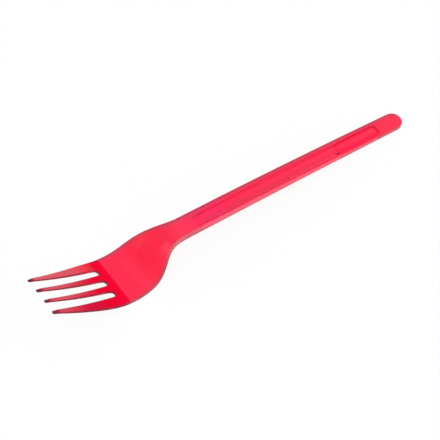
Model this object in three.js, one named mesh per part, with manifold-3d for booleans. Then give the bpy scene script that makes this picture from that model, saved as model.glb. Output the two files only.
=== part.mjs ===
// One-piece moulded fork in translucent plastic, lying on its palm and its handle end. Units are mm, +Z is up.
//
// The fork is described flat and then bent. A point of the flat fork has three numbers: `along`, the distance
// from the tine tips measured on the table, `across`, the distance from the middle plane, and `depth`, how far
// below the upper face it lies. bend() carries such a point onto the curved side profile.

import * as THREE from "three";
import { mergeVertices, toCreasedNormals } from "three/addons/utils/BufferGeometryUtils.js";
import Module from "manifold-3d";

const { degToRad, clamp, lerp, smoothstep } = THREE.MathUtils;

// Side profile of the upper face, a chain of arcs from the tips to the handle end.
const tineArc = 188;
const palmFrontAngle = degToRad(25);
const palmFrontArc = 21.4;
const palmRearArc = 10.8;
const riseAngle = degToRad(48.6);
const crestArc = 13;
const handleStartAngle = degToRad(4.5);
const handleArc = 2086;
const bowlAt = 39.55;
const handleLength = 117.3;

// Plan outline, half of it, from the tips to the full round handle end.
const headWidth = 25.1;
const widestAt = 30.5;
const tineTaper = degToRad(6.05);
const tineEdgeArc = 81;
const palmEdgeArc = 386;
const palmEdgeAngle = degToRad(2.1);
const shoulderArc = 10.6;
const shoulderAngle = degToRad(29.6);
const neckArc = 25.7;
const neckWidth = 8.86;
const endWidth = 8.2;

// Material depth below the upper face.
const tipThickness = 0.62;
const palmThickness = 1.35;
const neckDepth = 3.7;
const neckDepthFrom = 52;
const neckDepthAt = 63.9;
const handleTaperAt = 73.2;
const endThickness = 1.3;
const endTaperPower = 1.5;

// The head's upper face is flat in the middle and rolls down towards its edges.
const tipDroop = 0.35;
const tineDroop = 0.6;
const tineDroopAt = 19.7;
const shoulderDroop = 1.47;
const shoulderDroopFrom = 41.7;
const shoulderDroopAt = 51.6;
const shoulderDroopTo = 61.5;
const droopPower = 3.7;

// Tines and slots.
const tineCount = 4;
const slotRootAt = 30.75;
const tipPitch = 6.05;
const rootPitch = 6.16;
const tipWidth = 1.5;
const rootWidth = 3.1;
const tineWaistPower = 1.1;
const tipRound = 0.9;
const bevelLength = 2.5;
const bevelDrop = 0.46;

// Edge rounding and mould draft.
const upperEdge = 0.4;
const lowerEdge = 0.25;
const edgeShare = 0.32;
const wallDraft = Math.tan(degToRad(1.5));

// Channel and panel recess in the underside of the handle.
const webThickness = 1.3;
const channelAt = 74.6;
const channelRamp = 4.2;
const channelCeiling = 3.6;
const channelMouth = 5.2;
const ceilingRound = 0.35;
const panelAt = 145.9;
const panelLength = 21.3;
const panelCorner = 1.3;
const panelWeb = 1.1;
const panelDraft = Math.tan(degToRad(4));

// Flat foot under the handle end.
const footDepth = 0.3;

// Spacing of the sections along the fork.
const tineStep = 2.5;
const bendStep = 1.5;
const handleStep = 6;
const overshoot = 1.2;

const red = 0xff2f50;

// A chain of arcs and straight runs over x. Each piece starts where the last one ended, at the same angle.
class ArcChain {
  constructor(x, y, angle) {
    this.end = { x, y, angle };
    this.pieces = [];
  }

  arc(radius, angle) {
    const start = this.end;
    const sign = Math.sign(angle - start.angle);
    const x = start.x + sign * radius * (Math.sin(angle) - Math.sin(start.angle));
    const y = start.y + sign * radius * (Math.cos(start.angle) - Math.cos(angle));
    this.pieces.push({ start, radius, sign });
    this.end = { x, y, angle };
    return this;
  }

  line(run) {
    const start = this.end;
    this.pieces.push({ start, radius: 0, sign: 0 });
    this.end = { x: start.x + run, y: start.y + run * Math.tan(start.angle), angle: start.angle };
    return this;
  }

  // Height and angle of the chain at x. Beyond both ends it runs on straight.
  at(x) {
    if (x >= this.end.x) return straightOn(this.end, x);
    const piece = this.pieces.findLast((p) => p.start.x <= x);
    if (!piece) return straightOn(this.pieces[0].start, x);
    const { start, radius, sign } = piece;
    if (!sign) return straightOn(start, x);
    const angle = Math.asin(Math.sin(start.angle) + (sign * (x - start.x)) / radius);
    return { y: start.y + sign * radius * (Math.cos(start.angle) - Math.cos(angle)), angle };
  }
}

function straightOn(from, x) {
  return { y: from.y + (x - from.x) * Math.tan(from.angle), angle: from.angle };
}

// How far the head's edges hang below its middle, by place along the fork.
function droopAt(along) {
  const rising = lerp(tipDroop, tineDroop, smoothstep(along, 0, tineDroopAt));
  const tines = rising * (1 - smoothstep(along, slotRootAt - 4, bowlAt + 3));
  const hang = smoothstep(along, shoulderDroopFrom, shoulderDroopAt);
  return tines + shoulderDroop * hang * (1 - smoothstep(along, shoulderDroopAt, shoulderDroopTo));
}

// The side profile. Its bowl is as high as the palm is thick, and the straight rise behind the bowl is as long
// as it must be for the handle end to come down onto the table again.
function sideProfile() {
  const frontRun = palmFrontArc * Math.sin(palmFrontAngle);
  const tipAngle = Math.asin(Math.sin(palmFrontAngle) + (bowlAt - frontRun) / tineArc);
  const bowlHeight = palmThickness + droopAt(bowlAt);
  const frontRise = palmFrontArc * (1 - Math.cos(palmFrontAngle));
  const tineRise = tineArc * (Math.cos(palmFrontAngle) - Math.cos(tipAngle));
  const endAngle = Math.asin(Math.sin(handleStartAngle) + handleLength / handleArc);
  const handleDrop = handleArc * (Math.cos(handleStartAngle) - Math.cos(endAngle));
  const bendsRise =
    palmRearArc * (1 - Math.cos(riseAngle)) + crestArc * (Math.cos(handleStartAngle) - Math.cos(riseAngle));
  const riseRun = (endThickness + handleDrop - bendsRise - bowlHeight) / Math.tan(riseAngle);
  return new ArcChain(0, bowlHeight + frontRise + tineRise, -tipAngle)
    .arc(tineArc, -palmFrontAngle)
    .arc(palmFrontArc, 0)
    .arc(palmRearArc, riseAngle)
    .line(riseRun)
    .arc(crestArc, -handleStartAngle)
    .arc(handleArc, -endAngle);
}

// Half of the plan outline up to the handle end. The straight run of the shoulder takes up what the neck width
// asks for.
function planOutline(length) {
  const edgeRun = tineEdgeArc * Math.sin(tineTaper);
  const tineRun = widestAt - edgeRun;
  const tipHalf = headWidth / 2 - tineEdgeArc * (1 - Math.cos(tineTaper)) - tineRun * Math.tan(tineTaper);
  const bendsFall =
    palmEdgeArc * (1 - Math.cos(palmEdgeAngle)) +
    shoulderArc * (Math.cos(palmEdgeAngle) - Math.cos(shoulderAngle)) +
    neckArc * (1 - Math.cos(shoulderAngle));
  const shoulderRun = ((headWidth - neckWidth) / 2 - bendsFall) / Math.tan(shoulderAngle);
  const outline = new ArcChain(0, tipHalf, tineTaper)
    .line(tineRun)
    .arc(tineEdgeArc, 0)
    .arc(palmEdgeArc, -palmEdgeAngle)
    .arc(shoulderArc, -shoulderAngle)
    .line(shoulderRun)
    .arc(neckArc, 0);
  const handleRun = length - endWidth / 2 - outline.end.x;
  const handleTaper = Math.atan2((neckWidth - endWidth) / 2, handleRun);
  outline.end.angle = -handleTaper;
  return outline.line(handleRun);
}

const profile = sideProfile();
const length = profile.end.x;
const outline = planOutline(length);
const endCentre = length - endWidth / 2;
const crestEndAt = length - handleLength + 1;

function halfWidth(along) {
  return outline.at(along).y;
}

// Depth of the fork below its upper face.
function thickness(along) {
  if (along <= bowlAt) return lerp(tipThickness, palmThickness, Math.max(along, 0) / bowlAt);
  const neck = lerp(palmThickness, neckDepth, smoothstep(along, neckDepthFrom, neckDepthAt));
  const taper = clamp((along - handleTaperAt) / (length - handleTaperAt), 0, 1) ** endTaperPower;
  return lerp(neck, endThickness + footDepth, taper);
}

// The tips are bevelled from above.
function bevel(along) {
  return bevelDrop * clamp(1 - along / bevelLength, 0, 1);
}

// Carries a point of the flat fork onto the bent one.
function bend(along, across, depth) {
  const { y: height, angle } = profile.at(along);
  const droop = droopAt(along) * (Math.abs(across) / halfWidth(along)) ** droopPower;
  const below = depth + droop;
  return new THREE.Vector3(
    along + below * Math.sin(angle) - length / 2,
    across,
    height - below * Math.cos(angle),
  );
}

// Shares of the half width at which a section has points on its flat faces.
const faceShares = [0, 0.4, 0.7, 0.88, 1];
const cornerTurns = [30, 60, 90].map(degToRad);

// Points from the middle of the upper face round one edge to the middle of the lower face, as pairs of a
// distance from the middle and a depth.
function halfSection(along, half) {
  const top = bevel(along);
  const bottom = thickness(along);
  const upper = Math.min(upperEdge, edgeShare * (bottom - top), 0.8 * half);
  const lower = Math.min(lowerEdge, edgeShare * (bottom - top), 0.8 * half);
  const flare = wallDraft * (bottom - top - upper);
  const points = faceShares.map((share) => [share * (half - upper), top]);
  for (const turn of cornerTurns)
    points.push([half - upper + upper * Math.sin(turn), top + upper * (1 - Math.cos(turn))]);
  points.push([half + flare, bottom - lower]);
  for (const turn of cornerTurns)
    points.push([half + flare - lower * (1 - Math.cos(turn)), bottom - lower * (1 - Math.sin(turn))]);
  for (const share of faceShares.toReversed().slice(1)) points.push([share * (half + flare - lower), bottom]);
  return points;
}

// Turns a half section into a closed ring of bent points. A turn swings both halves back round the handle end.
function ringOf(points, along, turn = 0) {
  const place = ([across, depth], side) =>
    bend(along + across * Math.sin(turn), side * across * Math.cos(turn), depth);
  const right = points.map((p) => place(p, 1));
  const left = points
    .slice(1, -1)
    .toReversed()
    .map((p) => place(p, -1));
  return [...right, ...left];
}

// A closed solid through rings with equal numbers of points. An end is closed by a strip across the ring that
// starts between the point `seam` and the next one. A round end has swung shut by itself and needs none.
function loft(rings, seam, roundEnd = false) {
  const count = rings[0].length;
  const positions = rings.flat().flatMap((p) => p.toArray());
  const index = [];
  for (let i = 0; i + 1 < rings.length; i += 1) {
    for (let j = 0; j < count; j += 1) {
      const a = i * count + j;
      const b = i * count + ((j + 1) % count);
      index.push(a, b, a + count, b, b + count, a + count);
    }
  }
  for (const first of roundEnd ? [0] : [0, (rings.length - 1) * count]) {
    const at = (j) => first + ((j + count) % count);
    for (let k = 0; k + 1 < count / 2; k += 1) {
      const quad = [at(seam - k), at(seam + 1 + k), at(seam + 2 + k), at(seam - k - 1)];
      if (!first) quad.reverse();
      const [p, q, r, t] = quad;
      index.push(p, q, r, r, t, p);
    }
  }
  return closed(positions, index);
}

// Merges equal points, drops triangles that collapsed and makes the faces point out.
function closed(positions, index) {
  const raw = new THREE.BufferGeometry();
  raw.setAttribute("position", new THREE.Float32BufferAttribute(positions, 3));
  raw.setIndex(index);
  const merged = mergeVertices(raw, 1e-4);
  const old = merged.index.array;
  const kept = [];
  for (let i = 0; i < old.length; i += 3) {
    const [a, b, c] = [old[i], old[i + 1], old[i + 2]];
    if (a !== b && b !== c && c !== a) kept.push(a, b, c);
  }
  merged.setIndex(kept);
  if (signedVolume(merged) < 0) merged.setIndex(kept.toReversed());
  return merged;
}

function signedVolume(geometry) {
  const position = geometry.getAttribute("position");
  const index = geometry.index.array;
  const [a, b, c] = [new THREE.Vector3(), new THREE.Vector3(), new THREE.Vector3()];
  let sum = 0;
  for (let i = 0; i < index.length; i += 3) {
    a.fromBufferAttribute(position, index[i]);
    b.fromBufferAttribute(position, index[i + 1]);
    c.fromBufferAttribute(position, index[i + 2]);
    sum += a.dot(b.cross(c));
  }
  return sum / 6;
}

// Evenly spaced places from one end to the other, both included, no further apart than the step.
function spaced(from, to, step) {
  const count = Math.max(1, Math.ceil((to - from) / step));
  return Array.from({ length: count + 1 }, (_, i) => lerp(from, to, i / count));
}

// The whole fork without its slots and its recess.
function blank() {
  const tipPlaces = [0, 0.25, 0.55, 1].map((share) => share * tipRound);
  const places = [
    ...tipPlaces,
    ...spaced(tipRound, bevelLength, tineStep).slice(1),
    ...spaced(bevelLength, slotRootAt - 4, tineStep).slice(1),
    ...spaced(slotRootAt - 4, crestEndAt, bendStep).slice(1),
    ...spaced(crestEndAt, endCentre, handleStep).slice(1),
  ];
  const rings = places.map((along) => {
    const outer = ((tineCount - 1) / 2) * pitch(along);
    const half = outer + (halfWidth(along) - outer) * roundTip(along);
    return ringOf(halfSection(along, half), along);
  });
  for (const turn of spaced(0, Math.PI / 2, Math.PI / 18).slice(1))
    rings.push(ringOf(halfSection(endCentre, endWidth / 2), endCentre, turn));
  return loft(rings, halfSection(0, tipWidth).length / 2 - 1, true);
}

function pitch(along) {
  return lerp(tipPitch, rootPitch, clamp(along / slotRootAt, 0, 1));
}

// Share of the full tine width that is left near the rounded tip.
function roundTip(along) {
  const back = clamp(1 - along / tipRound, 0, 0.9);
  return Math.sqrt(1 - back * back);
}

function tineWidth(along) {
  const share = clamp(along / (slotRootAt - 2), 0, 1) ** tineWaistPower;
  return lerp(tipWidth, rootWidth, share) * roundTip(along);
}

// Points of one slot wall from above the fork to below it, as pairs of a distance out from the slot wall and a
// depth. The wall leaves both faces over a rounded edge.
function wallProfile(along) {
  const top = bevel(along);
  const bottom = thickness(along);
  const round = Math.min(edgeShare * (bottom - top), edgeShare * tineWidth(along));
  const steps = [12, 38, 64, 90].map(degToRad);
  const upper = steps.map((a) => [round * (1 - Math.sin(a)), top + round * (1 - Math.cos(a))]);
  const lower = upper.toReversed().map(([out, depth]) => [out, bottom + top - depth]);
  const above = [upper[0][0] + overshoot, upper[0][1] - overshoot];
  const under = [above[0], bottom + top - above[1]];
  return [above, ...upper, ...lower, under];
}

// One slot, open at the tips and round at its root.
function slotCutter(place) {
  const rootHalf = (rootPitch - rootWidth) / 2;
  const rootCentre = slotRootAt - rootHalf;
  const ring = (along, turn) => {
    const half = (pitch(along) - tineWidth(along)) / 2;
    const middle = place * pitch(along);
    const points = wallProfile(along);
    const at = ([out, depth], side) => {
      const reach = (turn ? rootHalf : half) + out;
      return bend(along + reach * Math.sin(turn), middle + side * reach * Math.cos(turn), depth);
    };
    return [...points.map((p) => at(p, 1)), ...points.toReversed().map((p) => at(p, -1))];
  };
  const tipPlaces = [-overshoot, ...[0.1, 0.4, 0.7, 1].map((share) => share * tipRound)];
  const places = [...tipPlaces, ...spaced(tipRound, rootCentre, tineStep).slice(1)];
  const rings = places.map((along) => ring(along, 0));
  for (const turn of spaced(0, Math.PI / 2, Math.PI / 16).slice(1)) rings.push(ring(rootCentre, turn));
  return loft(rings, rings[0].length / 2 - 1, true);
}

// The channel under the handle, with sloping walls and a rounded, ramped start.
function channelCutter() {
  const places = [
    ...[0.03, 0.12, 0.28, 0.5, 0.75, 1].map((share) => channelAt + share * channelRamp),
    ...spaced(channelAt + channelRamp, panelAt + 2, handleStep).slice(1),
  ];
  const rings = places.map((along) => {
    const back = clamp(1 - (along - channelAt) / channelRamp, 0, 1);
    const open = Math.sqrt(1 - back * back);
    const bottom = thickness(along);
    const ceiling = lerp(bottom, webThickness, open);
    const slope = (channelMouth - channelCeiling) / 2 / (bottom - webThickness);
    const mouth = (channelMouth / 2) * open;
    const inner = Math.max(mouth - slope * (bottom - ceiling), 0.3 * mouth);
    const round = Math.min(ceilingRound, 0.4 * inner);
    const outer = mouth + slope * overshoot;
    const half = [
      [0, ceiling],
      [inner - round, ceiling],
      [inner - 0.2 * round, ceiling + 0.3 * round],
      [inner + slope * round, ceiling + round],
      [outer, bottom + overshoot],
      [0, bottom + overshoot],
    ];
    return ringOf(half, along);
  });
  return loft(rings, 2);
}

// The shallow recess with round corners behind the bare panel.
function panelCutter() {
  const half = channelMouth / 2;
  const corner = spaced(0, Math.PI / 2, Math.PI / 12);
  const start = corner.map((turn) => [
    panelAt + panelCorner * (1 - Math.cos(turn)),
    half - panelCorner * (1 - Math.sin(turn)),
  ]);
  const end = start.map(([along, across]) => [2 * panelAt + panelLength - along, across]).toReversed();
  const between = spaced(panelAt + panelCorner, panelAt + panelLength - panelCorner, handleStep).slice(1, -1);
  const places = [...start, ...between.map((along) => [along, half]), ...end];
  const rings = places.map(([along, across]) => {
    const low = thickness(along) + overshoot;
    const spread = panelDraft * (low - panelWeb);
    return ringOf(
      [
        [0, panelWeb],
        [across - ceilingRound, panelWeb],
        [across, panelWeb + ceilingRound],
        [across + spread, low],
        [across - ceilingRound, low],
        [0, low],
      ],
      along,
    );
  });
  return loft(rings, 2);
}

const wasm = await Module();
wasm.setup();

function solid(geometry) {
  const mesh = new wasm.Mesh({
    numProp: 3,
    vertProperties: geometry.getAttribute("position").array,
    triVerts: new Uint32Array(geometry.index.array),
  });
  return new wasm.Manifold(mesh);
}

// The origin lies on the table under the middle of the fork's length.
function meshOf(made, name, material) {
  const { numProp, numVert, vertProperties, triVerts } = made.getMesh();
  const positions = new Float32Array(numVert * 3);
  for (let i = 0; i < numVert; i += 1) {
    positions.set(vertProperties.subarray(i * numProp, i * numProp + 3), i * 3);
  }
  const geometry = new THREE.BufferGeometry();
  geometry.setAttribute("position", new THREE.BufferAttribute(positions, 3));
  geometry.setIndex(new THREE.BufferAttribute(triVerts, 1));
  geometry.computeBoundingBox();
  geometry.translate(-(geometry.boundingBox.min.x + geometry.boundingBox.max.x) / 2, 0, 0);
  const mesh = new THREE.Mesh(toCreasedNormals(geometry, degToRad(35)), material);
  mesh.name = name;
  return mesh;
}

// Everything below the table is taken off, which leaves the flat foot under the handle end.
function belowTable() {
  const block = new THREE.BoxGeometry(2 * length, 4 * headWidth, 4 * neckDepth);
  block.translate(0, 0, -2 * neckDepth);
  block.deleteAttribute("normal");
  block.deleteAttribute("uv");
  return mergeVertices(block);
}

let fork = solid(blank());
for (let i = 1; i < tineCount; i += 1) fork = fork.subtract(solid(slotCutter(i - tineCount / 2)));
fork = fork.subtract(solid(channelCutter())).subtract(solid(panelCutter())).subtract(solid(belowTable()));

const part = new THREE.Group();
part.name = "plastic_fork";
part.add(meshOf(fork, "fork", new THREE.MeshStandardMaterial({ color: red, roughness: 0.35, metalness: 0 })));

export default part;
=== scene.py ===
"""Looks of a disposable fork moulded in translucent red polystyrene, lying on a pale studio floor."""

import logging
import math
from dataclasses import dataclass, field
from enum import Enum
from typing import Any

import bmesh
import bpy
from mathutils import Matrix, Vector


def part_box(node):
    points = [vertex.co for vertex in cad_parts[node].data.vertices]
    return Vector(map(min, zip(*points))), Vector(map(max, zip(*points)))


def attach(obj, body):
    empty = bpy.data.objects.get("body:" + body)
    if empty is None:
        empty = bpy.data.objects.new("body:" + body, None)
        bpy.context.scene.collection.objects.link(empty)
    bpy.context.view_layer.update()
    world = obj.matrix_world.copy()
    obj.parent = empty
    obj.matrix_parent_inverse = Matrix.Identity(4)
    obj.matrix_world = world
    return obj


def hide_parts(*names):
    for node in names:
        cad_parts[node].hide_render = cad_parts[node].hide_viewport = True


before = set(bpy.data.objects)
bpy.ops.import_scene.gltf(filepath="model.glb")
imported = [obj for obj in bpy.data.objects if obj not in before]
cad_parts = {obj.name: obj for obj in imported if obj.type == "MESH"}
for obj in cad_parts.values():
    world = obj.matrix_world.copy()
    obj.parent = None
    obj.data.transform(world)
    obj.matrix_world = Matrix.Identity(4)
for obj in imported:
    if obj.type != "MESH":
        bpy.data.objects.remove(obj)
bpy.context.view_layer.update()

LOG = logging.getLogger("fork")
MM = 0.001

# Places that lie nearer to each other than this many mm count as one.
SAME_PLACE = 0.01

# The upright share of a face's normal: over the first the face is level, under the second it is steep.
LEVEL = 0.7
STEEP = 0.5

# A quarter and an eighth of a turn in degrees.
QUARTER = 90.0
EIGHTH = 45.0

# Sockets of a Mix node that mixes colours.
MIX_SHARE, MIX_FIRST, MIX_SECOND = 0, 6, 7
MIX_RESULT = 2


def linear(hex_colour: str) -> tuple[float, float, float, float]:
    """Turns an sRGB hex colour into linear RGBA.

    Args:
        hex_colour: A colour such as "#ff2f50".

    Returns:
        Red, green, blue and an alpha of 1, all linear.
    """
    parts = [int(hex_colour[i : i + 2], 16) / 255 for i in (1, 3, 5)]
    red, green, blue = [c / 12.92 if c <= 0.04045 else ((c + 0.055) / 1.055) ** 2.4 for c in parts]
    return red, green, blue, 1.0


def add_node(
    tree: bpy.types.NodeTree, kind: str, inputs: dict | None = None, **settings: Any
) -> bpy.types.Node:
    """Adds one node with its settings, constants and links.

    Args:
        tree: The node tree that takes the node.
        kind: The node's type, such as "ShaderNodeMath".
        inputs: Socket name or index to a constant, or to the output socket that is linked to it.
        **settings: Properties of the node, such as operation="MULTIPLY".

    Returns:
        The new node.
    """
    node = tree.nodes.new(kind)
    for name, value in settings.items():
        setattr(node, name, value)
    for name, value in (inputs or {}).items():
        if isinstance(value, bpy.types.NodeSocket):
            tree.links.new(value, node.inputs[name])
        else:
            node.inputs[name].default_value = value
    return node


def blank_material(name: str) -> tuple[bpy.types.Material, bpy.types.NodeTree]:
    """Makes a material whose node tree is empty.

    Args:
        name: The material's name.

    Returns:
        The material and its node tree.
    """
    material = bpy.data.materials.new(name)
    material.use_nodes = True
    material.node_tree.nodes.clear()
    return material, material.node_tree


def clamp(value: float, low: float, high: float) -> float:
    """Holds a value between two limits."""
    return max(low, min(high, value))


def lerp(start: float, end: float, share: float) -> float:
    """Goes a share of the way from one value to another."""
    return start + (end - start) * share


def ease(value: float, start: float, end: float) -> float:
    """Rises smoothly from 0 at one value to 1 at another."""
    share = clamp((value - start) / (end - start), 0, 1)
    return share * share * (3 - 2 * share)


class ArcChain:
    """A curve of arcs and straight runs, each starting where the last one ended and at its angle."""

    def __init__(self, along: float, height: float, angle: float) -> None:
        """Starts the chain at a place, a height and an angle in radians."""
        self.end = (along, height, angle)
        self.pieces: list[tuple[tuple[float, float, float], float, int]] = []

    def arc(self, radius: float, angle: float) -> "ArcChain":
        """Adds an arc.

        Args:
            radius: The arc's radius in mm.
            angle: The angle at which it ends, in radians.

        Returns:
            The chain itself.
        """
        along, height, start = self.end
        sign = 1 if angle > start else -1
        self.pieces.append((self.end, radius, sign))
        along += sign * radius * (math.sin(angle) - math.sin(start))
        height += sign * radius * (math.cos(start) - math.cos(angle))
        self.end = (along, height, angle)
        return self

    def line(self, run: float) -> "ArcChain":
        """Adds a straight run.

        Args:
            run: Its length along the first axis, in mm.

        Returns:
            The chain itself.
        """
        along, height, angle = self.end
        self.pieces.append((self.end, 0.0, 0))
        self.end = (along + run, height + run * math.tan(angle), angle)
        return self

    def at(self, along: float) -> tuple[float, float]:
        """Reads the chain at a place. Beyond both ends it goes straight on.

        Args:
            along: The place along the first axis, in mm.

        Returns:
            The height and the angle there.
        """
        found = (self.end, 0.0, 0)
        if along < self.end[0]:
            before = (self.pieces[0][0], 0.0, 0)
            found = next((p for p in reversed(self.pieces) if p[0][0] <= along), before)
        (start, height, angle), radius, sign = found
        if not sign:
            return height + (along - start) * math.tan(angle), angle
        turned = math.asin(math.sin(angle) + sign * (along - start) / radius)
        return height + sign * radius * (math.cos(angle) - math.cos(turned)), turned


@dataclass(frozen=True)
class SideProfile:
    """The bends of the upper face, seen from the side, in mm and degrees."""

    tine_arc: float = 188.0
    palm_front_angle: float = 25.0
    palm_front_arc: float = 21.4
    palm_rear_arc: float = 10.8
    rise_angle: float = 48.6
    crest_arc: float = 13.0
    handle_start_angle: float = 4.5
    handle_arc: float = 2086.0
    bowl_at: float = 39.55
    handle_length: float = 117.3

    def chain(self, bowl_height: float, end_height: float) -> ArcChain:
        """Chains the bends from the tine tips to the handle end.

        Args:
            bowl_height: Height of the upper face at the lowest place of the palm.
            end_height: Height of the upper face at the handle end.

        Returns:
            The side profile as heights over places along the fork.
        """
        front = math.radians(self.palm_front_angle)
        rise = math.radians(self.rise_angle)
        start = math.radians(self.handle_start_angle)
        front_run = self.palm_front_arc * math.sin(front)
        tip = math.asin(math.sin(front) + (self.bowl_at - front_run) / self.tine_arc)
        end = math.asin(math.sin(start) + self.handle_length / self.handle_arc)
        front_lift = self.palm_front_arc * (1 - math.cos(front))
        lift = front_lift + self.tine_arc * (math.cos(front) - math.cos(tip))
        drop = self.handle_arc * (math.cos(start) - math.cos(end))
        rear_lift = self.palm_rear_arc * (1 - math.cos(rise))
        bends = rear_lift + self.crest_arc * (math.cos(start) - math.cos(rise))
        chain = ArcChain(0, bowl_height + lift, -tip)
        chain.arc(self.tine_arc, -front).arc(self.palm_front_arc, 0).arc(self.palm_rear_arc, rise)
        chain.line((end_height + drop - bends - bowl_height) / math.tan(rise))
        return chain.arc(self.crest_arc, -start).arc(self.handle_arc, -end)


@dataclass(frozen=True)
class PlanOutline:
    """Half of the outline seen from above, in mm and degrees."""

    head_width: float = 25.1
    widest_at: float = 30.5
    tine_taper: float = 6.05
    tine_edge_arc: float = 81.0
    palm_edge_arc: float = 386.0
    palm_edge_angle: float = 2.1
    shoulder_arc: float = 10.6
    shoulder_angle: float = 29.6
    neck_arc: float = 25.7
    neck_width: float = 8.86
    end_width: float = 8.2

    def chain(self, length: float) -> ArcChain:
        """Chains the outline from the tine tips to where the round handle end begins.

        Args:
            length: Length of the whole fork.

        Returns:
            The half width over places along the fork.
        """
        taper = math.radians(self.tine_taper)
        palm = math.radians(self.palm_edge_angle)
        shoulder = math.radians(self.shoulder_angle)
        tine_run = self.widest_at - self.tine_edge_arc * math.sin(taper)
        edge_fall = self.tine_edge_arc * (1 - math.cos(taper))
        tip_half = self.head_width / 2 - edge_fall - tine_run * math.tan(taper)
        fall = (
            self.palm_edge_arc * (1 - math.cos(palm))
            + self.shoulder_arc * (math.cos(palm) - math.cos(shoulder))
            + self.neck_arc * (1 - math.cos(shoulder))
        )
        chain = ArcChain(0, tip_half, taper).line(tine_run).arc(self.tine_edge_arc, 0)
        chain.arc(self.palm_edge_arc, -palm).arc(self.shoulder_arc, -shoulder)
        flank = ((self.head_width - self.neck_width) / 2 - fall) / math.tan(shoulder)
        chain.line(flank).arc(self.neck_arc, 0)
        run = length - self.end_width / 2 - chain.end[0]
        along, half, _ = chain.end
        chain.end = (along, half, -math.atan2((self.neck_width - self.end_width) / 2, run))
        return chain.line(run)


@dataclass(frozen=True)
class Tines:
    """The tapered tines and the slots between them, in mm."""

    root_at: float = 30.75
    tip_pitch: float = 6.05
    root_pitch: float = 6.16
    tip_width: float = 1.5
    root_width: float = 3.1
    taper_ends_before_root: float = 2.0
    taper_power: float = 1.1
    bevel_length: float = 2.5
    bevel_drop: float = 0.46

    def pitch(self, along: float) -> float:
        """Gives the distance between neighbouring tines at a place."""
        return lerp(self.tip_pitch, self.root_pitch, clamp(along / self.root_at, 0, 1))

    def slot_half(self, along: float) -> float:
        """Gives half the width of a slot at a place."""
        share = clamp(along / (self.root_at - self.taper_ends_before_root), 0, 1) ** self.taper_power
        return (self.pitch(along) - lerp(self.tip_width, self.root_width, share)) / 2

    def bevel(self, along: float) -> float:
        """Gives how far the bevel on a tip lies below the upper face."""
        return self.bevel_drop * clamp(1 - along / self.bevel_length, 0, 1)


@dataclass(frozen=True)
class Channel:
    """The open channel under the handle, in mm. Its walls lean by the slope in degrees."""

    start: float = 74.6
    ramp: float = 4.2
    ramp_lean: float = 0.6
    ramp_first_depth: float = 0.35
    mouth: float = 5.2
    wall_slope: float = 25.0
    web: float = 1.3


@dataclass(frozen=True)
class Panel:
    """The bare recess with round corners that ends the channel, in mm."""

    start: float = 145.9
    length: float = 21.3
    web: float = 1.1
    narrowing: float = 0.97
    corner: float = 1.3
    corner_pull: float = 0.3
    corner_reach: float = 0.1


@dataclass
class ForkForm:
    """The fork's form. A flat point has a place along, a distance across and a depth below the face."""

    side: SideProfile = field(default_factory=SideProfile)
    plan: PlanOutline = field(default_factory=PlanOutline)
    tines: Tines = field(default_factory=Tines)
    channel: Channel = field(default_factory=Channel)
    panel: Panel = field(default_factory=Panel)
    tip_thickness: float = 0.62
    palm_thickness: float = 1.35
    neck_depth: float = 3.7
    neck_depth_from: float = 52.0
    neck_depth_at: float = 63.9
    handle_taper_at: float = 73.2
    end_thickness: float = 1.3
    foot_depth: float = 0.3
    end_taper_power: float = 1.5
    tip_droop: float = 0.35
    tine_droop: float = 0.6
    tine_droop_at: float = 19.7
    tine_droop_to_root: float = 4.0
    tine_droop_past_bowl: float = 3.0
    shoulder_droop: float = 1.47
    shoulder_droop_from: float = 41.7
    shoulder_droop_at: float = 51.6
    shoulder_droop_to: float = 61.5
    droop_power: float = 3.7
    wall_draft: float = 1.5

    def __post_init__(self) -> None:
        """Works out the side profile and the outline."""
        bowl = self.palm_thickness + self.droop(self.side.bowl_at)
        self.profile = self.side.chain(bowl, self.end_thickness)
        self.length = self.profile.end[0]
        self.outline = self.plan.chain(self.length)

    def droop(self, along: float) -> float:
        """Gives how far the head's edges hang below its middle.

        Args:
            along: Place along the fork, from the tine tips.

        Returns:
            The drop of the outline's edge in mm.
        """
        rising = lerp(self.tip_droop, self.tine_droop, ease(along, 0, self.tine_droop_at))
        fade_from = self.tines.root_at - self.tine_droop_to_root
        tines = rising * (1 - ease(along, fade_from, self.side.bowl_at + self.tine_droop_past_bowl))
        hang = ease(along, self.shoulder_droop_from, self.shoulder_droop_at)
        left = 1 - ease(along, self.shoulder_droop_at, self.shoulder_droop_to)
        return tines + self.shoulder_droop * hang * left

    def thickness(self, along: float) -> float:
        """Gives the depth of the material below the upper face.

        Args:
            along: Place along the fork, from the tine tips.

        Returns:
            The depth in mm.
        """
        if along <= self.side.bowl_at:
            return lerp(self.tip_thickness, self.palm_thickness, max(along, 0) / self.side.bowl_at)
        deepened = ease(along, self.neck_depth_from, self.neck_depth_at)
        neck = lerp(self.palm_thickness, self.neck_depth, deepened)
        taper = clamp((along - self.handle_taper_at) / (self.length - self.handle_taper_at), 0, 1)
        return lerp(neck, self.end_thickness + self.foot_depth, taper**self.end_taper_power)

    def half_width(self, along: float) -> float:
        """Gives half the width of the outline at a place."""
        return self.outline.at(along)[0]

    def bend(self, along: float, across: float, depth: float) -> Vector:
        """Carries a flat point in mm onto the bent fork.

        Args:
            along: Place along the fork, from the tine tips.
            across: Distance from the middle plane.
            depth: Depth below the upper face.

        Returns:
            The place in metres, before the fork's middle is put over the origin.
        """
        height, angle = self.profile.at(along)
        below = depth + self.droop(along) * (abs(across) / self.half_width(along)) ** self.droop_power
        up = max(height - below * math.cos(angle), 0)
        return Vector((along + below * math.sin(angle), across, up)) * MM


class Face(Enum):
    """The two faces whose rims are rounded."""

    UPPER = "upper"
    LOWER = "lower"


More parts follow.
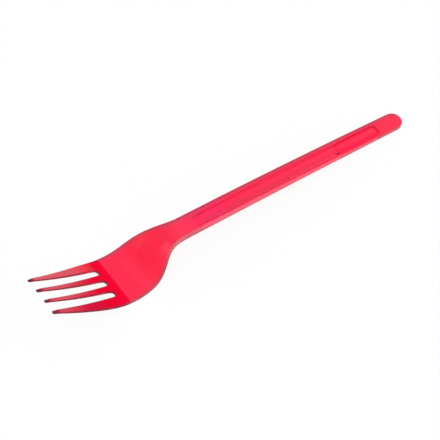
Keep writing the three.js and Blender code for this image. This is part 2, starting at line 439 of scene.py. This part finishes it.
class PaintedLight(Enum):
    """Places that get painted shade or painted sheen on the plastic. Each is an attribute of the mesh."""

    WALL = "wall"
    RIM_SHADE = "rim"
    EDGE = "edge"
    FACET_SHADE = "facet"
    RECESS_SHADE = "recess"


@dataclass(frozen=True)
class CageRows:
    """Places in mm where the cage gets a row of points. They lie closest where the form turns."""

    tips: tuple[float, ...] = (0, 0.4, 1.2)
    before_bevel_end: float = 0.25
    past_bevel_end: float = 0.3
    tines: tuple[float, ...] = (6, 9.5, 13, 16.5, 20, 23, 26)
    palm_past_root: float = 1.6
    palm_step: float = 2.05
    palm_count: int = 14
    neck: tuple[float, ...] = (62, 65, 68, 71, 73.6)
    past_channel_start: tuple[float, ...] = (0, 2, 5)
    channel: tuple[float, ...] = (85, 92, 102, 112, 122, 132, 140, 144.8)
    inside_panel_end: float = 1.5
    panel: tuple[float, ...] = (151.5, 157, 162.5)
    past_panel: float = 1.8
    tail: float = 172.6
    end_turns: tuple[float, ...] = (90, 75, 60, 45)

    def places(self, form: ForkForm) -> list[float]:
        """Lists the rows up to the round handle end.

        Args:
            form: The form that the rows follow.

        Returns:
            The places in rising order.
        """
        root, bevel = form.tines.root_at, form.tines.bevel_length
        panel_start = form.panel.start
        panel_end = panel_start + form.panel.length
        head = [*self.tips, bevel - self.before_bevel_end, bevel + self.past_bevel_end, *self.tines]
        roots = [root - form.tines.slot_half(root), root]
        palm = [root + self.palm_past_root + self.palm_step * i for i in range(self.palm_count)]
        gutter = [form.channel.start + step for step in self.past_channel_start]
        inside = self.inside_panel_end
        recess = [panel_start, panel_start + inside, *self.panel, panel_end - inside]
        tail = [panel_end, panel_end + self.past_panel, self.tail]
        return [*head, *roots, *palm, *self.neck, *gutter, *self.channel, *recess, *tail]


@dataclass(frozen=True)
class PaintedLightReach:
    """How far each place of painted shade or sheen reaches, in mm, and how strongly it is marked there, as a
    share.
    """

    wall_from: float = 0.85
    wall_span: float = 0.5
    facet_length: float = 1.6
    rim_on_face: float = 0.3
    rim_fade: float = 9.0
    tine_edge: float = 0.55
    tine_edge_fade: tuple[float, float] = (20.0, 27.0)
    past_root: float = 0.5
    wall_edge: float = 0.5
    edge_reach: tuple[float, float] = (1.1, 1.7)
    edge_widens: tuple[float, float] = (45.0, 60.0)
    before_recess: float = 0.1
    past_recess: float = 0.3
    recess_half: float = 0.6
    recess_slope: float = 3.0
    recess_offset: float = 0.3
    panel_tone: float = 0.25
    panel_end: float = 0.5


@dataclass
class ForkCage:
    """The quad cage of the fork, made flat from one grid and then bent onto the side profile."""

    form: ForkForm
    rows: CageRows = field(default_factory=CageRows)
    reach: PaintedLightReach = field(default_factory=PaintedLightReach)
    strips: int = 10
    channel_lines: tuple[float, ...] = (1, 0.75, 0.5, 0.25)
    spread_from: float = 34.0
    spread_to: float = 66.0
    round_share: float = 0.784
    round_reach: float = 1.109
    outer_tine: float = 1.4
    sheet: float = 1.0
    upper_band: float = 0.5
    rim_top: float = 0.38
    rim_top_steps: int = 3
    rim_bottom: float = 0.18
    rim_bottom_steps: int = 2
    rim_turn: float = 0.6
    rim_growth: float = 1.8
    rim_from: float = 52.0
    rim_to: float = 70.0
    tip_sink: float = 0.25
    tip_sink_power: float = 1.5

    def lanes(self, along: float) -> list[float]:
        """Lays out the eleven lines of points that run along the fork.

        Args:
            along: Place along the fork, from the tine tips.

        Returns:
            The lines' distances across, from one edge to the other.
        """
        form = self.form
        half = form.half_width(along)
        root = form.tines.root_at
        slot = form.tines.slot_half(min(along, root))
        if along > root - SAME_PLACE:
            slot *= self.round_share
        pitch = form.tines.pitch(along)
        head = [pitch + slot, pitch, pitch - slot, slot]
        handle = [form.channel.mouth / 2 * share for share in self.channel_lines]
        share = ease(along, self.spread_from, self.spread_to)
        head_half = form.half_width(self.spread_from) if along > root else half
        inner = [lerp(h * half / head_half, g, share) for h, g in zip(head, handle)]
        right = [half, *inner]
        return [-v for v in right] + [0.0] + right[::-1]

    def grid(self) -> bmesh.types.BMesh:
        """Makes the flat upper face as one grid and lays it out in plan.

        Returns:
            The flat face with its slots open.
        """
        form = self.form
        stations = self.rows.places(form)
        centre = form.length - form.plan.end_width / 2
        last_row = len(stations) + len(self.rows.end_turns) - 1
        mesh = bmesh.new()
        bmesh.ops.create_grid(mesh, x_segments=last_row, y_segments=self.strips, size=1.0)
        for vert in mesh.verts:
            row = round((vert.co.x + 1) / 2 * last_row)
            line = round((vert.co.y + 1) / 2 * self.strips)
            if row < len(stations):
                vert.co = (stations[row], self.lanes(stations[row])[line], 0)
            else:
                vert.co = self.end_point(centre, self.rows.end_turns[row - len(stations)], line)
        self.round_roots(mesh)
        return mesh

    def end_point(self, centre: float, turn: float, line: int) -> Vector:
        """Places a point of the round handle end.

        Args:
            centre: Place of the centre of the round end.
            turn: Angle of this row's outermost point from the fork's axis, in degrees.
            line: Number of the line across, from 0 to 10.

        Returns:
            The flat point.
        """
        radius = self.form.plan.end_width / 2
        share = self.lanes(centre)[line] / self.form.half_width(centre)
        angle, eighth = math.radians(turn), math.radians(EIGHTH)
        swing = (QUARTER - turn) / EIGHTH
        reach = lerp(swing, math.cos(angle), share * share)
        bulge = math.sin(eighth * share) / math.sin(eighth)
        return Vector((centre + radius * reach, radius * math.sin(angle) * lerp(share, bulge, swing), 0))

    def round_roots(self, mesh: bmesh.types.BMesh) -> None:
        """Opens the slots and pulls the points at their roots onto half circles.

        Args:
            mesh: The flat face, still closed.
        """
        tines = self.form.tines
        radius = tines.slot_half(tines.root_at)
        centre = tines.root_at - radius
        slots = [f for f in mesh.faces if self.in_slot(f)]
        bmesh.ops.delete(mesh, geom=slots, context="FACES")
        for vert in mesh.verts:
            if abs(vert.co.x - tines.root_at) > SAME_PLACE:
                continue
            pitches = vert.co.y / tines.root_pitch
            on_middle = abs(pitches - round(pitches)) * tines.root_pitch < SAME_PLACE
            furthest = on_middle or abs(pitches) > self.outer_tine
            vert.co.x = centre + (self.round_reach if furthest else self.round_share) * radius

    def in_slot(self, face: bmesh.types.BMFace) -> bool:
        """Says whether a face of the flat grid lies in a slot.

        Args:
            face: The face.

        Returns:
            True for a face between two tines.
        """
        middle = face.calc_center_median()
        pitch = self.form.tines.pitch(middle.x)
        slot = round(middle.y / pitch)
        near = abs(middle.y - slot * pitch) < self.form.tines.slot_half(middle.x)
        return middle.x < self.form.tines.root_at and abs(slot) <= 1 and near

    def sink(self, along: float) -> float:
        """Gives how far a tine's chisel point bends down below the run of the tine."""
        return self.tip_sink * clamp(1 - along / self.form.tines.bevel_length, 0, 1) ** self.tip_sink_power

    def thicken(self, mesh: bmesh.types.BMesh) -> None:
        """Gives the flat sheet its depth, with drafted outer walls.

        Args:
            mesh: The flat face.
        """
        form = self.form
        bmesh.ops.solidify(mesh, geom=mesh.faces[:], thickness=self.sheet)
        bmesh.ops.recalc_face_normals(mesh, faces=mesh.faces)
        draft = math.tan(math.radians(form.wall_draft))
        for vert in mesh.verts:
            along, across, _ = vert.co
            if abs(vert.co.z) < self.sheet / 2:
                vert.co.z = -form.tines.bevel(along) - self.sink(along)
                continue
            vert.co.z = -form.thickness(along) - self.sink(along)
            if abs(across) > form.half_width(along) - SAME_PLACE:
                vert.co.y += math.copysign(draft * form.thickness(along), across)

    def carve(self, mesh: bmesh.types.BMesh) -> None:
        """Sinks the channel and the panel's recess into the underside.

        Args:
            mesh: The thick flat cage.
        """
        channel, panel = self.form.channel, self.form.panel
        panel_end = panel.start + panel.length
        below = []
        for face in mesh.faces:
            middle = face.calc_center_median()
            under = face.normal.z < -LEVEL and channel.start < middle.x < panel_end
            if under and abs(middle.y) < channel.mouth / 2:
                below.append(face)
        done = bmesh.ops.extrude_face_region(mesh, geom=below)
        bmesh.ops.delete(mesh, geom=below, context="FACES")
        for vert in (v for v in done["geom"] if isinstance(v, bmesh.types.BMVert)):
            if vert.co.x < panel.start - SAME_PLACE:
                self.sink_channel(vert)
            else:
                vert.co.y *= panel.narrowing
                vert.co.z = -panel.web
        pull = panel.corner * panel.corner_pull
        for vert in mesh.verts:
            at_end = min(abs(vert.co.x - panel.start), abs(vert.co.x - panel_end)) < SAME_PLACE
            at_side = abs(abs(vert.co.y) - channel.mouth / 2) < panel.corner_reach
            if at_end and at_side and vert.co.z < -self.upper_band:
                vert.co.x += math.copysign(pull, (panel.start + panel_end) / 2 - vert.co.x)
                vert.co.y -= math.copysign(pull, vert.co.y)
        bmesh.ops.recalc_face_normals(mesh, faces=mesh.faces)

    def sink_channel(self, vert: bmesh.types.BMVert) -> None:
        """Moves a point of the underside up to the channel's ceiling.

        Args:
            vert: The point, still at the channel's mouth.
        """
        channel = self.form.channel
        along = vert.co.x
        depth = self.form.thickness(along)
        share = clamp((along - channel.start) / channel.ramp, 0, 1)
        inset = math.tan(math.radians(channel.wall_slope)) * (depth - channel.web)
        vert.co.x += channel.ramp_lean * (1 - share)
        vert.co.y *= 1 - 2 * inset / channel.mouth
        vert.co.z = -lerp(depth, channel.web, lerp(channel.ramp_first_depth, 1, share))

    def soften(self, mesh: bmesh.types.BMesh) -> None:
        """Bevels the rims of both faces and of the recess, and marks where painted shade and sheen go.

        Args:
            mesh: The carved flat cage.
        """
        layers = {grade: mesh.verts.layers.float.new(grade.value) for grade in PaintedLight}
        upper = (Face.UPPER, self.rim_top, self.rim_top_steps)
        lower = (Face.LOWER, self.rim_bottom, self.rim_bottom_steps)
        for face, offset, segments in (upper, lower):
            made = bmesh.ops.bevel(
                mesh, geom=self.rims(mesh, face), offset=offset, offset_type="OFFSET", affect="EDGES",
                segments=segments, profile=0.5, material=-1, clamp_overlap=True,
            )
            for vert in made["verts"]:
                if face is Face.UPPER:
                    # Painted shade on the upper rim.
                    vert[layers[PaintedLight.RIM_SHADE]] = self.rim_share(vert)
                    self.widen(vert)
                else:
                    # Painted shade on the lower rim.
                    vert[layers[PaintedLight.EDGE]] = 1.0
        mesh.normal_update()
        for vert in mesh.verts:
            self.grade(vert, layers)

    def grade(self, vert: bmesh.types.BMVert, layers: dict[PaintedLight, bmesh.types.BMLayerItem]) -> None:
        """Marks a flat point for painted sheen on a wall and for painted shade on a tip's facet, at the
        lower edge or in the recess.

        Args:
            vert: The point.
            layers: The mesh's layer for each grade.
        """
        reach = self.reach
        along, across, height = vert.co
        # Steep points get painted sheen; the material keeps it to the clear zone.
        vert[layers[PaintedLight.WALL]] = clamp((reach.wall_from - abs(vert.normal.z)) / reach.wall_span, 0, 1)
        # The tips' facets get painted shade.
        if along < reach.facet_length:
            vert[layers[PaintedLight.FACET_SHADE]] = 1.0
        if self.in_recess(along, across, height):
            vert[layers[PaintedLight.EDGE]] = 0.0
            vert[layers[PaintedLight.WALL]] = 0.0
            # Painted shade in the recess.
            vert[layers[PaintedLight.RECESS_SHADE]] = self.recess_share(along, across)
        elif along < self.form.tines.root_at + reach.past_root:
            vert[layers[PaintedLight.EDGE]] *= reach.tine_edge * (1 - ease(along, *reach.tine_edge_fade))
        else:
            # Painted shade darkens the lower outer edge.
            vert[layers[PaintedLight.EDGE]] = self.edge_share(along, across, -height)
            vert[layers[PaintedLight.EDGE]] *= lerp(reach.wall_edge, 1, clamp(-vert.normal.z, 0, 1))

    def in_recess(self, along: float, across: float, height: float) -> bool:
        """Says whether a flat point lies in the channel or in the panel's recess.

        Args:
            along: Place along the fork, from the tine tips.
            across: Distance from the middle plane.
            height: Height over the upper face, so less than 0 in the material.

        Returns:
            True for a point on a wall or on a ceiling of the recess.
        """
        channel, panel = self.form.channel, self.form.panel
        first = channel.start - self.reach.before_recess
        last = panel.start + panel.length + self.reach.past_recess
        inward = abs(across) < channel.mouth * self.reach.recess_half
        return first < along < last and inward and height < -self.upper_band

    def recess_share(self, along: float, across: float) -> float:
        """Works out how strongly painted shade marks a point of the recess.

        Args:
            along: Place along the fork, from the tine tips.
            across: Distance from the middle plane.

        Returns:
            1 on the walls, and less towards the middle of the ceiling.
        """
        panel, reach = self.form.panel, self.reach
        tone = reach.panel_tone if along > panel.start - reach.before_recess else 0.0
        if min(abs(along - panel.start), abs(along - panel.start - panel.length)) < reach.panel_end:
            tone = 1.0
        outward = abs(across) / self.form.channel.mouth
        return clamp(outward * reach.recess_slope - reach.recess_offset + tone, 0, 1)

    def edge_share(self, along: float, across: float, depth: float) -> float:
        """Works out how near a flat point lies to the lower outer edge.

        Args:
            along: Place along the fork, from the tine tips.
            across: Distance from the middle plane.
            depth: Depth below the upper face.

        Returns:
            1 at the edge, less away from it, and less than 0 beyond its reach.
        """
        radius = self.form.plan.end_width / 2
        centre = self.form.length - radius
        inward = self.form.half_width(along) - abs(across)
        if along > centre:
            inward = radius - math.hypot(along - centre, across)
        reach = lerp(*self.reach.edge_reach, ease(along, *self.reach.edge_widens))
        return 1 - math.hypot(max(inward, 0), self.form.thickness(along) - depth) / reach

    def rim_share(self, vert: bmesh.types.BMVert) -> float:
        """Works out how strongly painted shade marks a point of the upper rim.

        Args:
            vert: A point of the new rounding.

        Returns:
            1 at the side of a tine's rim, less on its face, and 0 from the slots' roots on.
        """
        tines = self.form.tines
        along, _, height = vert.co
        on_face = height > -SAME_PLACE - tines.bevel(along) - self.sink(along)
        strength = self.reach.rim_on_face if on_face else 1.0
        return strength * (1 - ease(along, tines.root_at - self.reach.rim_fade, tines.root_at))

    def widen(self, vert: bmesh.types.BMVert) -> None:
        """Grows the rounding of the upper rim along the neck to that of the handle.

        Args:
            vert: A point of the new rounding.
        """
        form = self.form
        along, across, height = vert.co
        share = ease(along, self.rim_from, self.rim_to)
        growth = lerp(1, self.rim_growth, share)
        radius = form.plan.end_width / 2
        centre = form.length - radius
        if along > centre:
            out = Vector((along - centre, across))
            out *= (radius - (radius - out.length) * growth) / out.length
            vert.co.x, vert.co.y = centre + out.x, out.y
        elif share > 0:
            half = form.half_width(along)
            vert.co.y = math.copysign(half - (half - abs(across)) * growth, across)
        if share > 0:
            vert.co.z = height * growth

    def rims(self, mesh: bmesh.types.BMesh, face: Face) -> list[bmesh.types.BMEdge]:
        """Finds the edges between the walls and one of the two faces.

        Args:
            mesh: The flat cage.
            face: The upper or the lower face.

        Returns:
            The edges, for the lower face with those at the mouth of the recess.
        """
        found = []
        for edge in mesh.edges:
            if len(edge.link_faces) != 2:
                continue
            low, high = sorted(f.normal.z for f in edge.link_faces)
            if face is Face.UPPER and high > LEVEL and low < STEEP:
                found.append(edge)
            sharp = edge.calc_face_angle() > self.rim_turn
            if face is Face.LOWER and low < -LEVEL and high > -STEEP and sharp:
                found.append(edge)
        return found

    def build(self) -> bmesh.types.BMesh:
        """Makes the whole cage.

        Returns:
            The cage in metres, bent and facing out.
        """
        mesh = self.grid()
        self.thicken(mesh)
        self.carve(mesh)
        self.soften(mesh)
        for vert in mesh.verts:
            vert.co = self.form.bend(vert.co.x, vert.co.y, -vert.co.z)
        bmesh.ops.recalc_face_normals(mesh, faces=mesh.faces)
        return mesh


@dataclass(frozen=True)
class MouldedPolystyrene:
    """Injection moulded, dyed crystal polystyrene.

    The tines come from polished steel, so they are clear and glossy and look deep red. The palm and the
    handle come from spark eroded steel, so a fine frosting scatters the light and they look lighter and
    even. Painted shade darkens the lower outer edge, the tips' facets, the tines' rims, the recess under
    the handle, the tines towards their tips and the rise to the neck. A painted sheen lightens the steep
    walls of the clear zone, the neck and the start of the channel.
    """

    name: str = "moulded_polystyrene_red"
    # Dye along the fork with painted shade on the tines towards their tips and on the rise, and painted
    # sheen on the neck and at the channel's start.
    dye_shade_and_sheen_zones: tuple[tuple[float, str], ...] = (
        (0.0, "#d40231"),
        (12.0, "#e10231"),
        (23.0, "#e8022f"),
        (29.0, "#ec032f"),
        (34.0, "#f20432"),
        (34.3, "#ff2b4d"),
        (44.0, "#ff2b4d"),
        (49.0, "#fb2445"),
        (58.0, "#fb2648"),
        (66.0, "#ff3657"),
        (82.0, "#fd2d60"),
        (96.0, "#fd3154"),
        (180.0, "#fd3654"),
    )
    # Painted shade in the recess, on the tines' rims, at the lower outer edge and on the tips' facets, and
    # painted sheen on the clear zone's steep walls.
    shade_and_sheen_tints: tuple[tuple[PaintedLight, str], ...] = (
        (PaintedLight.RECESS_SHADE, "#f60a40"),
        (PaintedLight.WALL, "#ff5a7a"),
        (PaintedLight.RIM_SHADE, "#a80a35"),
        (PaintedLight.EDGE, "#94606c"),
        (PaintedLight.FACET_SHADE, "#7c3052"),
    )
    edge_shade_power: float = 2.0
    ior: float = 1.59
    transmission: float = 0.97
    polished_roughness: float = 0.05
    frosted_roughness: float = 0.28
    wall_roughness: float = 0.8
    boundary_mm: float = 34.15
    boundary_blur_mm: float = 0.12
    grain_mm: float = 0.25
    grain_depth_mm: float = 0.02
    grain_strength: float = 0.25
    flow_mm: float = 9.0
    flow_range: tuple[float, float] = (0.3, 0.7)
    flow_roughness: float = 0.05

    def material(self, origin_mm: float) -> bpy.types.Material:
        """Makes the material.

        Args:
            origin_mm: Place along the fork that lies over the origin.

        Returns:
            The material with its node tree.
        """
        material, tree = blank_material(self.name)
        place = add_node(tree, "ShaderNodeTexCoord").outputs["Object"]
        along = add_node(tree, "ShaderNodeSeparateXYZ", {"Vector": place}).outputs["X"]
        boundary, blur = (self.boundary_mm - origin_mm) * MM, self.boundary_blur_mm * MM
        frosted = add_node(
            tree, "ShaderNodeMapRange",
            {"Value": along, "From Min": boundary - blur, "From Max": boundary + blur},
            interpolation_type="SMOOTHSTEP",
        ).outputs["Result"]
        shade_and_sheen_marks = self.shade_and_sheen_marks(tree, frosted)
        # The tints along the fork hold painted shade and sheen besides the dye.
        colour = self.dye_shade_and_sheen(tree, along, origin_mm)
        # Lays the painted shade and sheen over the tints along the fork.
        for grade, tint in self.shade_and_sheen_tints:
            colour = add_node(
                tree, "ShaderNodeMix",
                {MIX_SHARE: shade_and_sheen_marks[grade], MIX_FIRST: colour, MIX_SECOND: linear(tint)},
                data_type="RGBA", blend_type="MIX",
            ).outputs[MIX_RESULT]
        shader = add_node(
            tree, "ShaderNodeBsdfPrincipled",
            {
                "Base Color": colour,
                "Roughness": self.roughness(tree, place, frosted, shade_and_sheen_marks),
                "IOR": self.ior,
                "Transmission Weight": self.transmission,
                "Normal": self.frosting(tree, place, frosted),
            },
        )
        add_node(tree, "ShaderNodeOutputMaterial", {"Surface": shader.outputs["BSDF"]})
        return material

    def shade_and_sheen_marks(
        self, tree: bpy.types.NodeTree, frosted: bpy.types.NodeSocket
    ) -> dict[PaintedLight, bpy.types.NodeSocket]:
        """Reads the places of painted shade and sheen from the mesh.

        Args:
            tree: The material's node tree.
            frosted: 1 in the frosted zone and 0 in the clear one.

        Returns:
            The share of each grade. That of the walls is 0 in the frosted zone.
        """
        found = {}
        for grade, _ in self.shade_and_sheen_tints:
            share = add_node(tree, "ShaderNodeAttribute", attribute_name=grade.value).outputs["Fac"]
            found[grade] = add_node(
                tree, "ShaderNodeMath", {0: share, 1: 0.0}, operation="MAXIMUM"
            ).outputs["Value"]
        found[PaintedLight.EDGE] = add_node(
            tree, "ShaderNodeMath", {0: found[PaintedLight.EDGE], 1: self.edge_shade_power}, operation="POWER"
        ).outputs["Value"]
        found[PaintedLight.WALL] = add_node(
            tree, "ShaderNodeMath",
            {0: found[PaintedLight.WALL], 1: frosted},
            operation="SUBTRACT", use_clamp=True,
        ).outputs["Value"]
        return found

    def dye_shade_and_sheen(
        self, tree: bpy.types.NodeTree, along: bpy.types.NodeSocket, origin_mm: float
    ) -> bpy.types.NodeSocket:
        """Tints the plastic along the fork, deeper where it is clear. Painted shade darkens the tines
        towards their tips and the rise to the neck, and a painted sheen lightens the neck and the start of
        the channel.

        Args:
            tree: The material's node tree.
            along: Place along the fork from the origin, in metres.
            origin_mm: Place along the fork that lies over the origin.

        Returns:
            The colour.
        """
        length = self.dye_shade_and_sheen_zones[-1][0]
        share = add_node(
            tree, "ShaderNodeMapRange",
            {"Value": along, "From Min": -origin_mm * MM, "From Max": (length - origin_mm) * MM},
        ).outputs["Result"]
        ramp = add_node(tree, "ShaderNodeValToRGB", {"Fac": share})
        stops = ramp.color_ramp.elements
        for place_mm, tint in self.dye_shade_and_sheen_zones[1:-1]:
            stops.new(place_mm / length).color = linear(tint)
        stops[0].color, stops[-1].color = linear(self.dye_shade_and_sheen_zones[0][1]), linear(self.dye_shade_and_sheen_zones[-1][1])
        return ramp.outputs["Color"]

    def roughness(
        self,
        tree: bpy.types.NodeTree,
        place: bpy.types.NodeSocket,
        frosted: bpy.types.NodeSocket,
        shade_and_sheen_marks: dict[PaintedLight, bpy.types.NodeSocket],
    ) -> bpy.types.NodeSocket:
        """Polishes the tines and the recess, and leaves the rest matt.

        Args:
            tree: The material's node tree.
            place: Object coordinates.
            frosted: 1 in the frosted zone and 0 in the clear one.
            shade_and_sheen_marks: The share of each grade.

        Returns:
            The roughness, slightly uneven in the frosted zone where the melt flowed.
        """
        flow = add_node(
            tree, "ShaderNodeTexNoise",
            {"Vector": place, "Scale": 1 / (self.flow_mm * MM), "Detail": 2.0, "Roughness": 0.5},
        ).outputs["Fac"]
        low, high = self.flow_range
        varied = add_node(
            tree, "ShaderNodeMapRange",
            {
                "Value": flow, "From Min": low, "From Max": high,
                "To Min": -self.flow_roughness, "To Max": self.flow_roughness,
            },
        ).outputs["Result"]
        matt = add_node(
            tree, "ShaderNodeMath",
            {0: frosted, 1: shade_and_sheen_marks[PaintedLight.RECESS_SHADE]},
            operation="SUBTRACT", use_clamp=True,
        ).outputs["Value"]
        rough = add_node(
            tree, "ShaderNodeMapRange",
            {"Value": matt, "To Min": self.polished_roughness, "To Max": self.frosted_roughness},
        ).outputs["Result"]
        rough = add_node(
            tree, "ShaderNodeMapRange",
            {"Value": shade_and_sheen_marks[PaintedLight.WALL], "To Min": rough, "To Max": self.wall_roughness},
        ).outputs["Result"]
        return add_node(
            tree, "ShaderNodeMath", {0: varied, 1: frosted, 2: rough}, operation="MULTIPLY_ADD"
        ).outputs["Value"]

    def frosting(
        self, tree: bpy.types.NodeTree, place: bpy.types.NodeSocket, frosted: bpy.types.NodeSocket
    ) -> bpy.types.NodeSocket:
        """Gives the frosted zone its fine grain.

        Args:
            tree: The material's node tree.
            place: Object coordinates.
            frosted: 1 in the frosted zone and 0 in the clear one.

        Returns:
            The normal.
        """
        # The real grain is some hundredths of a millimetre wide. It is drawn coarser, so that it shows.
        grain = add_node(
            tree, "ShaderNodeTexNoise",
            {"Vector": place, "Scale": 1 / (self.grain_mm * MM), "Detail": 2.0, "Roughness": 0.6},
        ).outputs["Fac"]
        relief = add_node(
            tree, "ShaderNodeMath", {0: grain, 1: frosted}, operation="MULTIPLY"
        ).outputs["Value"]
        return add_node(
            tree, "ShaderNodeBump",
            {"Strength": self.grain_strength, "Distance": self.grain_depth_mm * MM, "Height": relief},
        ).outputs["Normal"]


@dataclass
class Fork:
    """The moulded fork, one piece."""

    form: ForkForm = field(default_factory=ForkForm)
    finish: MouldedPolystyrene = field(default_factory=MouldedPolystyrene)
    smoothing: int = 2
    stretch: float = 1.002
    end_allowance: float = 0.3

    def build(self) -> bpy.types.Object:
        """Builds the fork over its CAD node and dresses it.

        Returns:
            The fork's object.
        """
        cage = ForkCage(self.form).build()
        bmesh.ops.scale(cage, verts=cage.verts, vec=(self.stretch, 1, 1))
        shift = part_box("fork")[1][0] + self.end_allowance * MM - max(v.co.x for v in cage.verts)
        bmesh.ops.translate(cage, verts=cage.verts, vec=(shift, 0, 0))
        mesh = bpy.data.meshes.new("moulded_fork")
        cage.to_mesh(mesh)
        cage.free()
        mesh.shade_smooth()
        piece = bpy.data.objects.new("moulded_fork", mesh)
        bpy.context.collection.objects.link(piece)
        smooth = piece.modifiers.new("smooth", "SUBSURF")
        smooth.levels = smooth.render_levels = self.smoothing
        mesh.materials.append(self.finish.material(-shift / MM))
        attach(piece, "root")
        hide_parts("fork")
        return piece


@dataclass(frozen=True)
class Camera:
    """A long lens that looks down along the fork's left side. Angles are in degrees, the target in mm."""

    heading: float = 34.694
    elevation: float = 56.059
    distance: float = 1.2
    pixels_per_mm: float = 2.4085
    frame_pixels: int = 440
    sensor: float = 36.0
    clip_end: float = 20.0
    target: tuple[float, float] = (-2.2, 0.884)

    def build(self) -> bpy.types.Object:
        """Makes the camera and sets it as the scene's own.

        Returns:
            The camera's object.
        """
        heading, elevation = math.radians(self.heading), math.radians(self.elevation)
        data = bpy.data.cameras.new("photo_camera")
        data.sensor_width = self.sensor
        data.lens = self.sensor * self.pixels_per_mm * self.distance / MM / self.frame_pixels
        data.clip_end = self.clip_end
        target = Vector((self.target[0] * MM, self.target[1] * MM, 0))
        away = Vector((
            -math.sin(heading) * math.cos(elevation),
            -math.cos(heading) * math.cos(elevation),
            math.sin(elevation),
        ))
        camera = bpy.data.objects.new("photo_camera", data)
        camera.location = target + away * self.distance
        camera.rotation_euler = (-away).to_track_quat("-Z", "Y").to_euler()
        bpy.context.collection.objects.link(camera)
        bpy.context.scene.camera = camera
        return camera


@dataclass(frozen=True)
class SoftLamp:
    """A square soft lamp that points at the fork. Place and size are in metres, the power in watts."""

    name: str
    place: tuple[float, float, float]
    size: float
    power: float

    def build(self) -> bpy.types.Object:
        """Hangs the lamp.

        Returns:
            The lamp's object.
        """
        data = bpy.data.lights.new(self.name, "AREA")
        data.shape = "SQUARE"
        data.size = self.size
        data.energy = self.power
        lamp = bpy.data.objects.new(self.name, data)
        lamp.location = self.place
        lamp.rotation_euler = (-Vector(self.place)).to_track_quat("-Z", "Y").to_euler()
        bpy.context.collection.objects.link(lamp)
        return lamp


@dataclass(frozen=True)
class Studio:
    """A white card floor, soft lamps and surroundings that mirror as a bright horizon under a dim top."""

    floor_half: float = 3.0
    floor_colour: str = "#f4f4f4"
    floor_glow: float = 0.9
    floor_light: float = 1.15
    tent: float = 1.08
    horizon: float = 1.25
    horizon_ends: tuple[float, float] = (0.12, 0.3)
    zenith: float = 0.02
    tip_side_ends: tuple[float, float] = (-0.75, -0.35)
    lamps: tuple[SoftLamp, ...] = (
        SoftLamp("overhead_lamp", (-0.5, -0.3, 1.3), 1.2, 5),
        SoftLamp("side_lamp", (0.9, -0.7, 0.9), 0.9, 2),
    )

    def card(self) -> bpy.types.Material:
        """Makes the floor's material, white uncoated card. It looks even and shows no gloss.

        Returns:
            The material, white to the camera and through the plastic. It keeps the fork's shadow.
        """
        material, tree = blank_material("white_card")
        path = add_node(tree, "ShaderNodeLightPath").outputs
        bounced = add_node(
            tree, "ShaderNodeMath",
            {0: path["Is Transmission Ray"], 1: path["Is Glossy Ray"]},
            operation="MAXIMUM",
        ).outputs["Value"]
        share = add_node(
            tree, "ShaderNodeMath",
            {0: path["Is Camera Ray"], 1: self.floor_glow, 2: bounced},
            operation="MULTIPLY_ADD",
        ).outputs["Value"]
        strength = add_node(
            tree, "ShaderNodeMapRange", {"Value": bounced, "To Min": 1.0, "To Max": self.floor_light}
        ).outputs["Result"]
        card = add_node(tree, "ShaderNodeBsdfDiffuse", {"Color": linear(self.floor_colour)}).outputs["BSDF"]
        glow = add_node(tree, "ShaderNodeEmission", {"Strength": strength}).outputs["Emission"]
        both = add_node(tree, "ShaderNodeMixShader", {0: share, 1: card, 2: glow}).outputs["Shader"]
        add_node(tree, "ShaderNodeOutputMaterial", {"Surface": both})
        return material

    def floor(self) -> bpy.types.Object:
        """Lays the card floor.

        Returns:
            The floor's object.
        """
        shape = bmesh.new()
        bmesh.ops.create_grid(shape, x_segments=1, y_segments=1, size=self.floor_half)
        mesh = bpy.data.meshes.new("card_floor")
        shape.to_mesh(mesh)
        shape.free()
        mesh.materials.append(self.card())
        floor = bpy.data.objects.new("card_floor", mesh)
        bpy.context.collection.objects.link(floor)
        return floor

    def sky(self) -> None:
        """Lights the fork evenly from all round. Mirrored, only the horizon away from its tips is bright."""
        world = bpy.data.worlds.new("light_tent")
        world.use_nodes = True
        tree = world.node_tree
        tree.nodes.clear()
        bpy.context.scene.world = world
        direction = add_node(tree, "ShaderNodeTexCoord").outputs["Generated"]
        towards = add_node(tree, "ShaderNodeSeparateXYZ", {"Vector": direction}).outputs
        low, high = self.horizon_ends
        mirrored = add_node(
            tree, "ShaderNodeMapRange",
            {
                "Value": towards["Z"], "From Min": low, "From Max": high,
                "To Min": self.horizon, "To Max": self.zenith,
            },
            interpolation_type="SMOOTHSTEP",
        ).outputs["Result"]
        dark, bright = self.tip_side_ends
        mirrored = add_node(
            tree, "ShaderNodeMapRange",
            {
                "Value": towards["X"], "From Min": dark, "From Max": bright,
                "To Min": self.zenith, "To Max": mirrored,
            },
        ).outputs["Result"]
        path = add_node(tree, "ShaderNodeLightPath").outputs
        reflected = add_node(
            tree, "ShaderNodeMath",
            {0: path["Is Glossy Ray"], 1: path["Is Transmission Ray"]},
            operation="SUBTRACT",
        ).outputs["Value"]
        strength = add_node(
            tree, "ShaderNodeMapRange", {"Value": reflected, "To Min": self.tent, "To Max": mirrored}
        ).outputs["Result"]
        back = add_node(tree, "ShaderNodeBackground", {"Strength": strength})
        add_node(tree, "ShaderNodeOutputWorld", {"Surface": back.outputs["Background"]})

    def build(self) -> None:
        """Sets up the floor, the surroundings and the lamps."""
        self.floor()
        self.sky()
        for lamp in self.lamps:
            lamp.build()
        bpy.context.scene.view_settings.view_transform = "Standard"


def main() -> None:
    """Builds the scene and reports its pieces."""
    logging.basicConfig(level=logging.INFO, format="%(name)s: %(message)s")
    Camera().build()
    Studio().build()
    piece = Fork().build()
    LOG.info("%s has %d cage faces", piece.name, len(piece.data.polygons))


if __name__ == "__main__":
    main()
